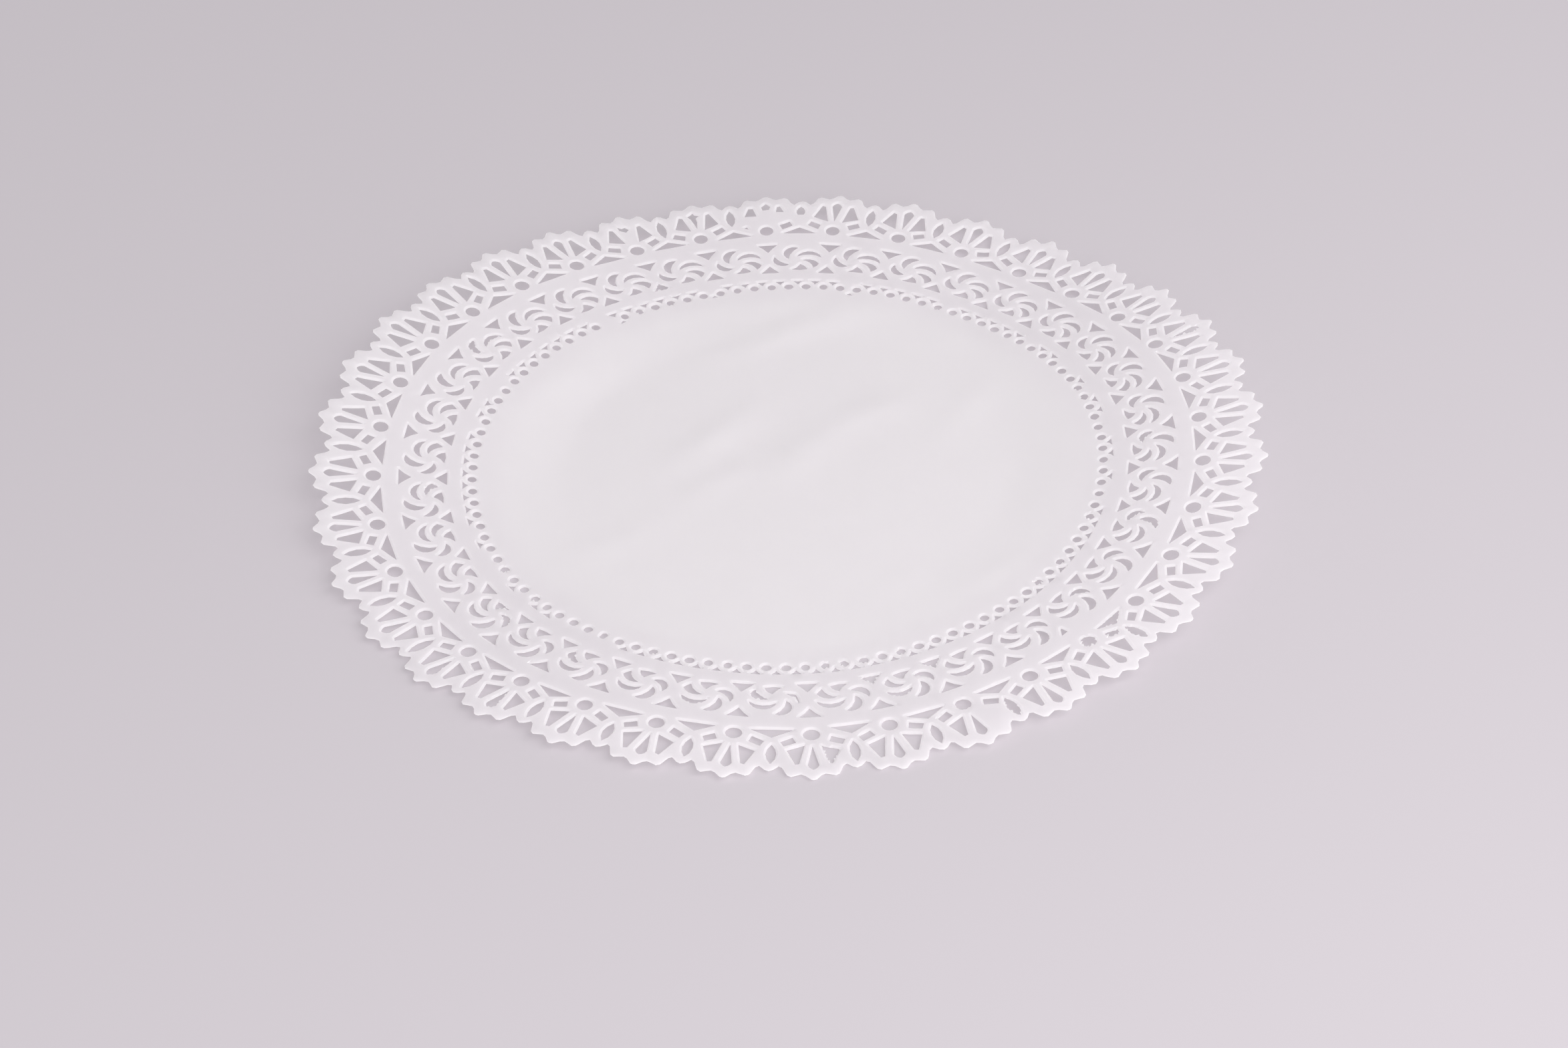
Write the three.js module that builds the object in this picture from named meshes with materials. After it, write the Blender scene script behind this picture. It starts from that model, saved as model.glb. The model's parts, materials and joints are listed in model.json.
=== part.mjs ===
// A round paper doily, in millimetres, with +Z up and its origin under the middle of the plain centre.
// It is one punched sheet. 36 equal repeats run round it, and its rim lifts off the table in soft waves.
import * as THREE from "three";

// Sizes of the sheet
const REPEATS = 36;
const PITCH = 360 / REPEATS; // degrees
const SHEET_THICKNESS = 1;
const FLAT_RADIUS = 71; // inside this circle the sheet lies flat on the table
const LACE_RADIUS = 97; // the plain centre ends here and the repeats start
const RIM_RADIUS = 150; // the tips of the main teeth
const ARC_ERROR = 0.15; // how far a straight step may stray from the arc that it stands for
const SAME_POINT = 1e-3; // points closer than this are one point

// The rim's waves. A wave's crest is at a bearing, anticlockwise from +X in degrees. It fades to nothing
// halfWidth degrees to either side of it, and rises by rise at the rim.
const LIFT_POWER = 1.15; // above 1, the sheet leaves the table gently and steepens towards the rim
const WAVES = [
  { name: "left", bearing: 145, halfWidth: 48, rise: 14.2 },
  { name: "back", bearing: 88, halfWidth: 56, rise: 6.3 },
  { name: "right", bearing: 3, halfWidth: 55, rise: 13.8 },
  { name: "front right", bearing: -42, halfWidth: 51, rise: 5.5 },
  { name: "front left", bearing: -120, halfWidth: 42, rise: 3.2 },
  { name: "left end", bearing: 180, halfWidth: 42, rise: 7.3 },
];

// The toothed edge of one repeat, clockwise from the deep notch where the seam before it ends.
// A share is a part of the pitch, clockwise from the fan's axis.
const EDGE_SHIFT = 0.02; // the edge was punched this share of a pitch clockwise of the openings
const DEEP_NOTCH_SHARE = 0.389;
const DEEP_NOTCH_RADIUS = 143.9;
const EDGE = [
  { name: "low tooth", share: -0.5, radius: 146.1 },
  { name: "deep notch", share: -DEEP_NOTCH_SHARE, radius: DEEP_NOTCH_RADIUS },
  { name: "shoulder", share: -0.247, radius: 148.4 },
  { name: "notch", share: -0.137, radius: 147.5 },
  { name: "main tooth", share: 0, radius: RIM_RADIUS },
  { name: "notch", share: 0.137, radius: 147.5 },
  { name: "shoulder", share: 0.247, radius: 148.4 },
];

// The line where two repeats meet, from the deep notch inwards, past the openings and never through one.
const SEAM = [
  { share: DEEP_NOTCH_SHARE + EDGE_SHIFT, radius: DEEP_NOTCH_RADIUS },
  { share: 0.38, radius: 137 },
  { share: 0.34, radius: 132.5 },
  { share: 0.19, radius: 127.6 },
  { share: 0.19, radius: 124.5 },
  { share: 0.25, radius: 114 },
  { share: 0.25, radius: 104 },
  { share: 0.25, radius: LACE_RADIUS },
];

// The larger openings of one repeat. Each has a frame at a share and a radius, with x clockwise and y
// outwards, and its corners run anticlockwise. The edge from a corner to the next one swells out of the
// opening by bow, or into it where bow is below 0.
const corner = (x, y, bow = 0) => ({ x, y, bow });
const EYE_RADIUS = 2.3;
const OPENINGS = [
  {
    name: "eye",
    share: 0,
    radius: 130,
    corners: [corner(-EYE_RADIUS, 0, EYE_RADIUS), corner(EYE_RADIUS, 0, EYE_RADIUS)],
  },
  {
    name: "middle petal",
    share: 0,
    radius: 137.5,
    corners: [corner(0, -1.9), corner(1.8, 5.9, 0.3), corner(0.3, 7.8, 0.3), corner(-1.3, 5.9)],
  },
  {
    name: "right petal",
    share: 0,
    radius: 137.5,
    corners: [corner(2.6, -2.3), corner(7.5, -0.2), corner(5.5, 5.7), corner(4.5, 5.4)],
  },
  {
    name: "left petal",
    share: 0,
    radius: 137.5,
    corners: [corner(-2.5, -2.3), corner(-4.1, 5.4), corner(-5.1, 5.8), corner(-7.4, -0.2)],
  },
  {
    name: "lens",
    share: -0.5,
    radius: 137,
    corners: [corner(0, -2.8, 1.45), corner(0.1, 6, 1.45)],
  },
  {
    name: "wide triangle",
    share: -0.5,
    radius: 137,
    corners: [corner(-5.6, -9.3), corner(5.6, -9.3), corner(0, -6.0)],
  },
  {
    name: "outer triangle",
    share: 0,
    radius: 120,
    corners: [corner(-3.5, 2.1, -0.3), corner(0, -1.8, -0.3), corner(3.5, 2.1)],
  },
  {
    name: "inner triangle",
    share: 0,
    radius: 107,
    corners: [corner(-2.9, 0), corner(2.9, 0), corner(0, 3.7)],
  },
];

const radians = THREE.MathUtils.degToRad;
const ORIGIN = new THREE.Vector2(0, 0);

// A point of the repeat whose fan points along +X.
function spot(share, radius, x = 0, y = 0) {
  const point = new THREE.Vector2(radius + y, -x);
  return point.rotateAround(ORIGIN, radians(-share * PITCH));
}

// An arc from one point to another that swells by bow to the right of the way it runs, without its end.
function arc(from, to, bow) {
  const steps = Math.max(1, Math.ceil(Math.sqrt(Math.abs(bow) / ARC_ERROR)));
  const points = [from.clone()];
  if (steps === 1) return points;
  const chord = to.clone().sub(from);
  const half = chord.length() / 2;
  const right = new THREE.Vector2(chord.y, -chord.x).normalize();
  const radius = (half * half + bow * bow) / (2 * bow);
  const centre = from.clone().add(to).multiplyScalar(0.5);
  centre.addScaledVector(right, bow - radius);
  const sweep = 4 * Math.atan(bow / half);
  for (let i = 1; i < steps; i++) {
    points.push(from.clone().rotateAround(centre, (sweep * i) / steps));
  }
  return points;
}

// The outline of an opening, in the first repeat.
function openingOutline({ share, radius, corners }) {
  const points = corners.map(({ x, y }) => spot(share, radius, x, y));
  return corners.flatMap(({ bow }, i) => arc(points[i], points[(i + 1) % points.length], bow));
}

// The outline of one repeat: its edge, then the seam inwards, the start of the lace, and the seam outwards.
function repeatOutline() {
  const edge = EDGE.map(({ share, radius }) => spot(share + EDGE_SHIFT, radius));
  const seam = SEAM.map(({ share, radius }) => spot(share, radius));
  const lastSeam = SEAM[SEAM.length - 1];
  const innerMiddle = spot(lastSeam.share - 0.5, lastSeam.radius);
  const farSeam = SEAM.map(({ share, radius }) => spot(share - 1, radius));
  return [...edge, ...seam, innerMiddle, ...farSeam.reverse()];
}

// How far the sheet has lifted off the table at a point.
function lift(x, y) {
  const out = (Math.hypot(x, y) - FLAT_RADIUS) / (RIM_RADIUS - FLAT_RADIUS);
  if (out <= 0) return 0;
  const bearing = THREE.MathUtils.radToDeg(Math.atan2(y, x));
  let height = 0;
  for (const wave of WAVES) {
    const turn = THREE.MathUtils.euclideanModulo(bearing - wave.bearing + 180, 360) - 180;
    const share = Math.abs(turn) / wave.halfWidth;
    if (share < 1) height += wave.rise * Math.cos((Math.PI / 2) * share) ** 2;
  }
  return height * out ** LIFT_POWER;
}

// A flat net of triangles in which points that fall together are one point.
class Net {
  points = [];
  triangles = [];
  numbers = new Map();

  number(point) {
    const key = `${Math.round(point.x / SAME_POINT)},${Math.round(point.y / SAME_POINT)}`;
    if (!this.numbers.has(key)) {
      this.numbers.set(key, this.points.length);
      this.points.push(point);
    }
    return this.numbers.get(key);
  }

  // Adds a triangle, turned anticlockwise as seen from above.
  add(a, b, c) {
    const turn = (b.x - a.x) * (c.y - a.y) - (b.y - a.y) * (c.x - a.x);
    const corners = turn > 0 ? [a, b, c] : [a, c, b];
    this.triangles.push(corners.map((point) => this.number(point)));
  }
}

// The whole sheet seen from above: the repeats, the sloping band inside them, and the flat middle.
function sheetNet() {
  const net = new Net();
  const outline = repeatOutline();
  const openings = OPENINGS.map(openingOutline);
  const repeatPoints = [outline, ...openings].flat();
  const repeatTriangles = THREE.ShapeUtils.triangulateShape(outline, openings);
  const lastSeam = SEAM[SEAM.length - 1];
  const innerShares = [lastSeam.share, lastSeam.share - 0.5, lastSeam.share - 1];
  for (let i = 0; i < REPEATS; i++) {
    const turn = (point) => point.clone().rotateAround(ORIGIN, radians(i * PITCH));
    for (const corners of repeatTriangles) {
      net.add(...corners.map((number) => turn(repeatPoints[number])));
    }
    const [right, middle, left] = innerShares.map((share) => turn(spot(share, LACE_RADIUS)));
    const flatRight = turn(spot(lastSeam.share, FLAT_RADIUS));
    const flatLeft = turn(spot(lastSeam.share - 1, FLAT_RADIUS));
    net.add(flatRight, right, middle);
    net.add(flatRight, middle, flatLeft);
    net.add(flatLeft, middle, left);
    net.add(ORIGIN, flatRight, flatLeft);
  }
  return net;
}

// Gives a flat net its lift and its thickness, with a wall along every edge that only one triangle has.
function thicken({ points, triangles }, thickness) {
  const heights = points.map(({ x, y }) => lift(x, y));
  const bottom = points.flatMap(({ x, y }, i) => [x, y, heights[i]]);
  const top = points.flatMap(({ x, y }, i) => [x, y, heights[i] + thickness]);
  const above = points.length;
  const faces = triangles.flatMap(([a, b, c]) => [a + above, b + above, c + above, a, c, b]);
  const sides = triangles.flatMap(([a, b, c]) => [[a, b], [b, c], [c, a]]);
  const known = new Set(sides.map(([from, to]) => `${from},${to}`));
  for (const [from, to] of sides) {
    if (known.has(`${to},${from}`)) continue;
    faces.push(from, to, to + above, from, to + above, from + above);
  }
  const geometry = new THREE.BufferGeometry();
  geometry.setAttribute("position", new THREE.Float32BufferAttribute([...bottom, ...top], 3));
  geometry.setIndex(faces);
  geometry.computeVertexNormals();
  return geometry;
}

const paper = new THREE.MeshStandardMaterial({ color: 0xe6e2e5, roughness: 0.8, metalness: 0 });
const sheet = new THREE.Mesh(thicken(sheetNet(), SHEET_THICKNESS), paper);
sheet.name = "doily";

const doily = new THREE.Group();
doily.add(sheet);

export default doily;
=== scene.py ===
# %% [markdown]
# # A round paper doily
# A paper doily is one sheet of thin white paper. A die cuts and presses it in one stroke: it punches the
# openings of the lace and presses the paper down beside each cut. It could be modelled by hand as a whole,
# but here a chart of one repeat goes round 36 times, as it does on the die. The imported part is the fixed
# frame, so it is loaded first. Its box is kept and printed.

# %% The fixed frame
import json
import math
from collections import namedtuple
from itertools import combinations

import bpy
import numpy as np
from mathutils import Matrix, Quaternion, Vector, kdtree
from mathutils.geometry import delaunay_2d_cdt

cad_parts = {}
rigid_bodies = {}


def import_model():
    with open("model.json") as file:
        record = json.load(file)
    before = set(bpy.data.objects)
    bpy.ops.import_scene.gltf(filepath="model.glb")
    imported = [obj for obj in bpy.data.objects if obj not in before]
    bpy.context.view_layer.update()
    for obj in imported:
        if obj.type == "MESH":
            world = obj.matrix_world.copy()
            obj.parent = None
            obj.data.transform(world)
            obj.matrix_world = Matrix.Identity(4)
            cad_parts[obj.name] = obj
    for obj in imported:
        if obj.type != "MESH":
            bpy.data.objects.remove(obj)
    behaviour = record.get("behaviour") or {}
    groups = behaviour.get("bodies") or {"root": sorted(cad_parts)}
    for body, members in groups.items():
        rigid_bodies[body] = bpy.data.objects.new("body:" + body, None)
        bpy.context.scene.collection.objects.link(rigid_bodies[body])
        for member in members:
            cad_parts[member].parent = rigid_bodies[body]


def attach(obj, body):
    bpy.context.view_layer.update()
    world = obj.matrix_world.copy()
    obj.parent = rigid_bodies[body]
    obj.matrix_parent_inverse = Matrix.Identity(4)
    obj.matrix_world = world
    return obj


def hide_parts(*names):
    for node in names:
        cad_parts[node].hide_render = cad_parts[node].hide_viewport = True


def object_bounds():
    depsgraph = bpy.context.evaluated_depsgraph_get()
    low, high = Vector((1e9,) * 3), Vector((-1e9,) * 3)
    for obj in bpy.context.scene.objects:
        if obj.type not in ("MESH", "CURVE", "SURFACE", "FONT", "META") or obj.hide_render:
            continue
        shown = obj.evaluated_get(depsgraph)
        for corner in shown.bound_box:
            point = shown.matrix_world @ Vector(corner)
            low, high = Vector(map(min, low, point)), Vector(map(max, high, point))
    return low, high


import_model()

CAD_BOX = [list(corner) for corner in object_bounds()]
print("the part's box in metres:", [[round(value, 4) for value in corner] for corner in CAD_BOX])

# %% [markdown]
# ## The camera
# A real camera looks down at the table from the front. A long lens keeps the far teeth nearly as large
# as the near ones. The camera could be aimed with a constraint, but its place is worked out from a
# target, a distance and three angles instead, because those are the numbers that a photographer would
# note down.

# %% The camera
MM = 0.001  # metres
CAMERA_TARGET = Vector((-2.66, -28.75, 0)) * MM
CAMERA_DISTANCE = 1.1705  # metres
CAMERA_ELEVATION = math.radians(37.45)
CAMERA_AZIMUTH = math.radians(-1.41)
CAMERA_ROLL = math.radians(2.66)
CAMERA_LENS = 86.88  # mm
CAMERA_REACH = (0.01, 20)  # metres, the nearest and the farthest


def add_object(name, data):
    """Adds an object to the scene."""
    thing = bpy.data.objects.new(name, data)
    bpy.context.scene.collection.objects.link(thing)
    return thing


def add_camera():
    """Adds the camera, aimed at its target, and makes it the scene's own."""
    level = math.cos(CAMERA_ELEVATION)
    back = Vector((
        math.sin(CAMERA_AZIMUTH) * level, -math.cos(CAMERA_AZIMUTH) * level, math.sin(CAMERA_ELEVATION),
    ))
    camera = add_object("camera", bpy.data.cameras.new("camera"))
    camera.data.lens = CAMERA_LENS
    camera.data.clip_start, camera.data.clip_end = CAMERA_REACH
    camera.location = CAMERA_TARGET + back * CAMERA_DISTANCE
    camera.rotation_mode = "QUATERNION"
    level_look = (-back).to_track_quat("-Z", "Y")
    camera.rotation_quaternion = level_look @ Quaternion((0, 0, 1), -CAMERA_ROLL)
    bpy.context.scene.camera = camera
    return camera


camera = add_camera()
print("camera at", [round(value, 3) for value in camera.location])

# %% [markdown]
# ## Node maths
# Geometry Nodes and shaders both add up numbers with Math nodes. Placing each node by hand hides the
# formula, so a small class wraps a socket. Then `a * b + 1` in Python adds the two Math nodes that it
# says.

# %% Node maths
class Field:
    """An output socket of a node tree, on which + - * / and ** add Math nodes."""

    def __init__(self, nodes, socket):
        self.nodes, self.socket = nodes, socket

    def math(self, operation, *values):
        """A Math node of any operation on these values."""
        return self.nodes.add("ShaderNodeMath", {"operation": operation}, values)

    def __add__(self, other):
        return self.math("ADD", self, other)

    def __sub__(self, other):
        return self.math("SUBTRACT", self, other)

    def __rsub__(self, other):
        return self.math("SUBTRACT", other, self)

    def __mul__(self, other):
        return self.math("MULTIPLY", self, other)

    def __truediv__(self, other):
        return self.math("DIVIDE", self, other)

    def __rtruediv__(self, other):
        return self.math("DIVIDE", other, self)

    def __pow__(self, other):
        return self.math("POWER", self, other)

    __radd__ = __add__
    __rmul__ = __mul__

    def between(self, low, high):
        """Keeps the value between two others."""
        return self.math("MAXIMUM", self.math("MINIMUM", self, high), low)


class Nodes:
    """Adds nodes to one tree. A node's settings come first, then the values or links of its sockets."""

    def __init__(self, tree):
        self.tree = tree

    def add(self, kind, settings=(), inputs=(), output=0):
        """Adds a node and returns one of its outputs, or the node itself where output is None."""
        node = self.tree.nodes.new(kind)
        for name, value in dict(settings).items():
            setattr(node, name, value)
        named = inputs.items() if isinstance(inputs, dict) else enumerate(inputs)
        for name, value in named:
            if isinstance(value, Field):
                self.tree.links.new(value.socket, node.inputs[name])
            else:
                node.inputs[name].default_value = value
        if output is None:
            return node
        return Field(self, node.outputs[output])


print("the node maths is ready")

# %% [markdown]
# ## The openings of one repeat
# The lace is one repeat that goes round the sheet 36 times, every 10 degrees. Its openings are a fan of
# petals with an eye, a pinwheel of crescents between two triangles, and a row of dots and tiny
# triangles. Each opening has a frame at a share of the pitch and a radius, with x clockwise and y
# outwards, in millimetres. Its corners run anticlockwise. The side that starts at a corner swells out of
# the opening by its bow, or into it where the bow is below 0. Curves drawn by hand would do as well, but
# a chart of corners is easier to correct.

# %% The openings of one repeat
FULL_TURN = 360  # degrees
REPEATS = 36
PITCH = math.tau / REPEATS
Corner = namedtuple("Corner", "x y bow", defaults=[0])
Opening = namedtuple("Opening", "name share radius corners")

FAN = (0, 137.5)  # the share and the radius of its frame
BETWEEN_FANS = (-0.5, 137)
PINWHEEL = (-0.5, 114.5)
EYE_RADIUS = 2.3
DOT_RADIUS = 1.3
DOT_RING = 99.25
TINY_RING = 101.5


def shape(*places):
    """The corners at these places, each with its bow where its side is curved."""
    return [Corner(*place) for place in places]


def round_shape(radius):
    """The corners of a round opening, whose two sides are half circles."""
    return shape((-radius, 0, radius), (radius, 0, radius))


OPENINGS = [
    Opening("eye", 0, 130, round_shape(EYE_RADIUS)),
    Opening("middle petal", *FAN, shape((0, -1.95), (1.75, 5.8, 0.3), (0.25, 7.6, 0.3), (-1.35, 5.8))),
    Opening("right petal", *FAN, shape((2.5, -2.7), (7.6, -0.8), (5.5, 5.7), (4.5, 5.5))),
    Opening("left petal", *FAN, shape((-2.5, -2.4), (-4.1, 5.4), (-5.1, 5.8), (-7.5, -0.4))),
    Opening("right square", *FAN, shape((5.65, -6.7), (9.05, -5.05), (8.25, -3.0), (4.75, -4.45))),
    Opening("left square", *FAN, shape((-5.6, -6.7), (-4.95, -4.45), (-8.4, -2.95), (-9.35, -5.0))),
    Opening("lens", *BETWEEN_FANS, shape((0, -2.8, 1.45), (0.1, 6, 1.45))),
    Opening("wide triangle", *BETWEEN_FANS, shape((-5.8, -9.45), (5.75, -9.45), (0, -6.05))),
    Opening("outer triangle", 0, 120, shape((-3.4, 2.0, -0.2), (0, -1.75, -0.2), (3.3, 2.0))),
    Opening("inner triangle", 0, 107, shape((-2.85, 0), (2.85, 0), (0, 3.55))),
    Opening("first crescent", *PINWHEEL, shape((-0.45, 6.15, 3.1), (-3.75, 0.05, -0.8))),
    Opening("second crescent", *PINWHEEL, shape((-0.5, 1.15, -1.3), (7.4, 0.6, 3.0))),
    Opening("third crescent", *PINWHEEL, shape(
        (1.5, -0.75, -0.8), (5.45, -4.8, 0.15), (7.1, -2.95, 1.3),
    )),
    Opening("fourth crescent", *PINWHEEL, shape((-7.55, 0.8, 2.65), (-2.8, -3.0, -0.65))),
    Opening("fifth crescent", *PINWHEEL, shape(
        (0.65, -3.3, -0.35), (-2.15, -6.2, 0.25), (2.85, -6.0, 0.4),
    )),
]
for number, share in enumerate([-2 / 3, -1 / 3, 0]):
    OPENINGS.append(Opening(f"dot {number}", share, DOT_RING, round_shape(DOT_RADIUS)))
    OPENINGS.append(Opening(f"tiny triangle {number}", share + 1 / 6, TINY_RING, shape(
        (-1.6, 0.7, -0.15), (0, -0.95, -0.15), (1.55, 0.7),
    )))
print(len(OPENINGS), "openings in a repeat,", len(OPENINGS) * REPEATS, "in the sheet")

# %% [markdown]
# ## From corners to outlines
# The corners above were charted at the foot of each cut. The paper springs back a little from the punch,
# so each side is moved outwards. A punch has slightly rounded corners, so each sharp corner is cut off.
# A dull punch tears the paper, and the fibres that hang in such an opening are made by pushing its
# outline inwards in places. The outlines are worked out here rather than drawn as curve objects, because
# the relief needs the same points.

# %% From corners to outlines
SPRING = 0.1  # mm that each side moves outwards
LONGEST_TIP = 0.3  # mm that a corner moves at most
NEEDLE = 0.05  # keeps the move finite where a corner is as sharp as a needle
STRAIGHT = 0.01  # mm of bow, below which a side is straight
LONGEST_STEP = 3.0  # mm from point to point
CURVE_STEP = math.radians(22)  # from point to point of an arc
SHARP_TURN = math.radians(32)  # past which a corner is cut off
CORNER_CUT = 0.12  # mm on either side of the corner
TEAR_STEP = 0.45  # mm from point to point of a torn edge
TEAR_WAVES = (5.3, 2.3)  # mm, the lengths of the two waves that make a torn edge
TEAR_BIAS = 0.15  # above 0, more than half of a torn edge hangs inwards


def turned(point, angle):
    """A flat point turned anticlockwise about the middle of the sheet."""
    c, s = math.cos(angle), math.sin(angle)
    return Vector((point[0] * c - point[1] * s, point[0] * s + point[1] * c))


def spot(share, radius, x=0, y=0):
    """A point of the repeat whose fan points along +X."""
    return turned((radius + y, -x), -share * PITCH)


def right_of(way):
    """The direction to the right of a way."""
    return Vector((way.y, -way.x))


def side(start, end, bow, step=None):
    """Points from start towards end, without the end, on an arc that swells to the right by bow."""
    chord = end - start
    sweep = 4 * math.atan(2 * bow / chord.length)
    length = chord.length * (1 + (bow / chord.length) ** 2 * 8 / 3)  # close to the arc's own
    fewest = math.ceil(max(length / LONGEST_STEP, abs(sweep) / CURVE_STEP))
    count = max(1, round(length / step) if step else fewest)
    if abs(bow) < STRAIGHT:
        return [start.lerp(end, number / count) for number in range(count)]
    radius = ((chord.length / 2) ** 2 + bow**2) / (2 * bow)
    centre = (start + end) / 2 + right_of(chord).normalized() * (bow - radius)
    return [centre + turned(start - centre, sweep * number / count) for number in range(count)]


def end_ways(start, end, bow):
    """The directions in which a side leaves its start and reaches its end."""
    chord = end - start
    swing = 2 * math.atan(2 * bow / chord.length)
    return turned(chord.normalized(), -swing), turned(chord.normalized(), swing)


def sprung(opening):
    """The opening with every side moved outwards."""
    corners = opening.corners
    old = [Vector((corner.x, corner.y)) for corner in corners]
    following = old[1:] + old[:1]
    ways = [end_ways(a, b, corner.bow) for a, b, corner in zip(old, following, corners)]
    new = []
    for number, point in enumerate(old):
        come, go = right_of(ways[number - 1][1]), right_of(ways[number][0])
        shift = (come + go) * SPRING / max(NEEDLE, 1 + come.dot(go))
        new.append(point + shift * min(1, LONGEST_TIP / shift.length))
    result = []
    for number, corner in enumerate(corners):
        a, b = old[number], following[number]
        c, d = new[number], new[(number + 1) % len(new)]
        middle = (a + b) / 2 + right_of((b - a).normalized()) * (corner.bow + SPRING)
        bow = (middle - (c + d) / 2).dot(right_of((d - c).normalized()))
        result.append(Corner(c.x, c.y, 0 if corner.bow == 0 else bow))
    return opening._replace(corners=result)


def opening_points(opening, step=None):
    """The points round an opening, whose corners are still sharp."""
    spots = [spot(opening.share, opening.radius, corner.x, corner.y) for corner in opening.corners]
    sides = zip(spots, spots[1:] + spots[:1], opening.corners)
    return [point for a, b, corner in sides for point in side(a, b, corner.bow, step)]


def cut_corners(points):
    """The outline with each sharp corner replaced by two points."""
    result = []
    for before, here, after in zip(points[-1:] + points[:-1], points, points[1:] + points[:1]):
        come, go = here - before, after - here
        if abs(come.angle_signed(go)) > SHARP_TURN:
            result += [here - come.normalized() * CORNER_CUT, here + go.normalized() * CORNER_CUT]
        else:
            result.append(here)
    return result


def torn(points, depth, chance):
    """The outline pushed inwards by up to depth here and there."""
    phases = chance.uniform(0, math.tau, len(TEAR_WAVES))
    length, result = 0, []
    for before, here, after in zip(points[-1:] + points[:-1], points, points[1:] + points[:1]):
        length += (here - before).length
        wave = math.prod(math.sin(math.tau * length / w + phase) for w, phase in zip(TEAR_WAVES, phases))
        inwards = -right_of((after - before).normalized())
        result.append(here + inwards * depth * max(0, wave + TEAR_BIAS))
    return result


def outline_of(opening, tear=0, chance=None):
    """The outline of an opening, anticlockwise."""
    if tear:
        return torn(opening_points(opening, TEAR_STEP), tear, chance)
    return cut_corners(opening_points(opening))


OPENINGS = [sprung(opening) for opening in OPENINGS]
print(sum(len(outline_of(opening)) for opening in OPENINGS), "points on the outlines of a repeat")

# %% [markdown]
# ## The toothed edge and the seam
# The rim of each repeat has a main tooth with a shoulder on either side, then a deep notch and a low
# tooth. A smooth curve runs through these (share, radius) points. Where two repeats meet, a seam runs
# from the deep notch inwards between the openings, mostly along the middle of the ribs. Both sides of a
# repeat have the same seam, one pitch apart, so neighbours fit together point for point.

# %% The toothed edge and the seam
EDGE_SHIFT = 0.02  # of the pitch, by which the edge lies clockwise of the openings
NOTCH_SHARE, NOTCH_RADIUS = 0.389, 143.9
LOW_TOOTH = [(-0.611, NOTCH_RADIUS), (-0.55, 145.5), (-0.5, 146.1), (-0.45, 145.5)]
HALF_MAIN_TOOTH = [
    (0.03, 149.8), (0.09, 148.1), (0.137, 147.45), (0.19, 147.9), (0.247, 148.5), (0.29, 147.9),
    (0.35, 144.6), (NOTCH_SHARE, NOTCH_RADIUS),
]
OTHER_HALF = [(-share, radius) for share, radius in reversed(HALF_MAIN_TOOTH)]
EDGE = LOW_TOOTH + OTHER_HALF + [(0, 150)] + HALF_MAIN_TOOTH
SEAM = [
    (NOTCH_SHARE + EDGE_SHIFT, NOTCH_RADIUS), (0.40, 141.5), (0.385, 138.5), (0.385, 136.5),
    (0.425, 134.4), (0.44, 132.9), (0.36, 131.0), (0.27, 129.75), (0.2, 128.4), (0.19, 126.2),
    (0.19, 123.8), (0.195, 120.0), (0.13, 117.8), (0.03, 116.3), (0.0, 115.2), (0.02, 113.2),
    (0.06, 111.4), (0.14, 109.3), (0.21, 107.2), (0.25, 105.0), (0.26, 102.9), (0.333, 102.0),
    (0.25, 100.9), (0.18, 99.7), (0.167, 98.2), (0.167, 96.5), (0.167, 94.0), (0.167, 92.0),
]
LACE_RADIUS = SEAM[-1][1]  # at the inner end of the repeats
RIM_STEP = 1.1  # mm from point to point
SEAM_STEP = 0.85  # mm
INNER_STEPS = 5  # between the seams at the inner end of a repeat


def along(stations, step):
    """Points about a step apart on the straight lines through (share, radius) stations."""
    spots = [spot(share, radius) for share, radius in stations]
    points = []
    for a, b in zip(spots, spots[1:]):
        count = max(1, round((b - a).length / step))
        points += [a.lerp(b, number / count) for number in range(count)]
    return points + spots[-1:]


def smooth_edge():
    """The toothed edge, clockwise, as a smooth curve through its stations, without its last point."""
    spots = [spot(share + EDGE_SHIFT, radius) for share, radius in EDGE]
    points = []
    for number in range(len(spots) - 1):
        before = spots[max(0, number - 1)]
        after = spots[min(len(spots) - 1, number + 2)]
        a, b = spots[number], spots[number + 1]
        count = max(1, round((b - a).length / RIM_STEP))
        for part in range(count):
            t = part / count
            slope_a, slope_b = (b - before) / 2, (after - a) / 2
            points.append(
                a * (2 * t**3 - 3 * t**2 + 1) + slope_a * (t**3 - 2 * t**2 + t)
                + b * (3 * t**2 - 2 * t**3) + slope_b * (t**3 - t**2)
            )
    return points


seam = along(SEAM, SEAM_STEP)
far_seam = [turned(point, PITCH) for point in seam]
INNER_START = -SEAM[-1][0] * PITCH
inner = [
    turned((LACE_RADIUS, 0), INNER_START + PITCH * number / INNER_STEPS)
    for number in range(1, INNER_STEPS)
]
# The outer end of the far seam is left out, because the edge starts there.
REPEAT_OUTLINE = smooth_edge() + seam + inner + far_seam[:0:-1]
print(len(seam), "points on the seam,", len(REPEAT_OUTLINE), "round the repeat")
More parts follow.
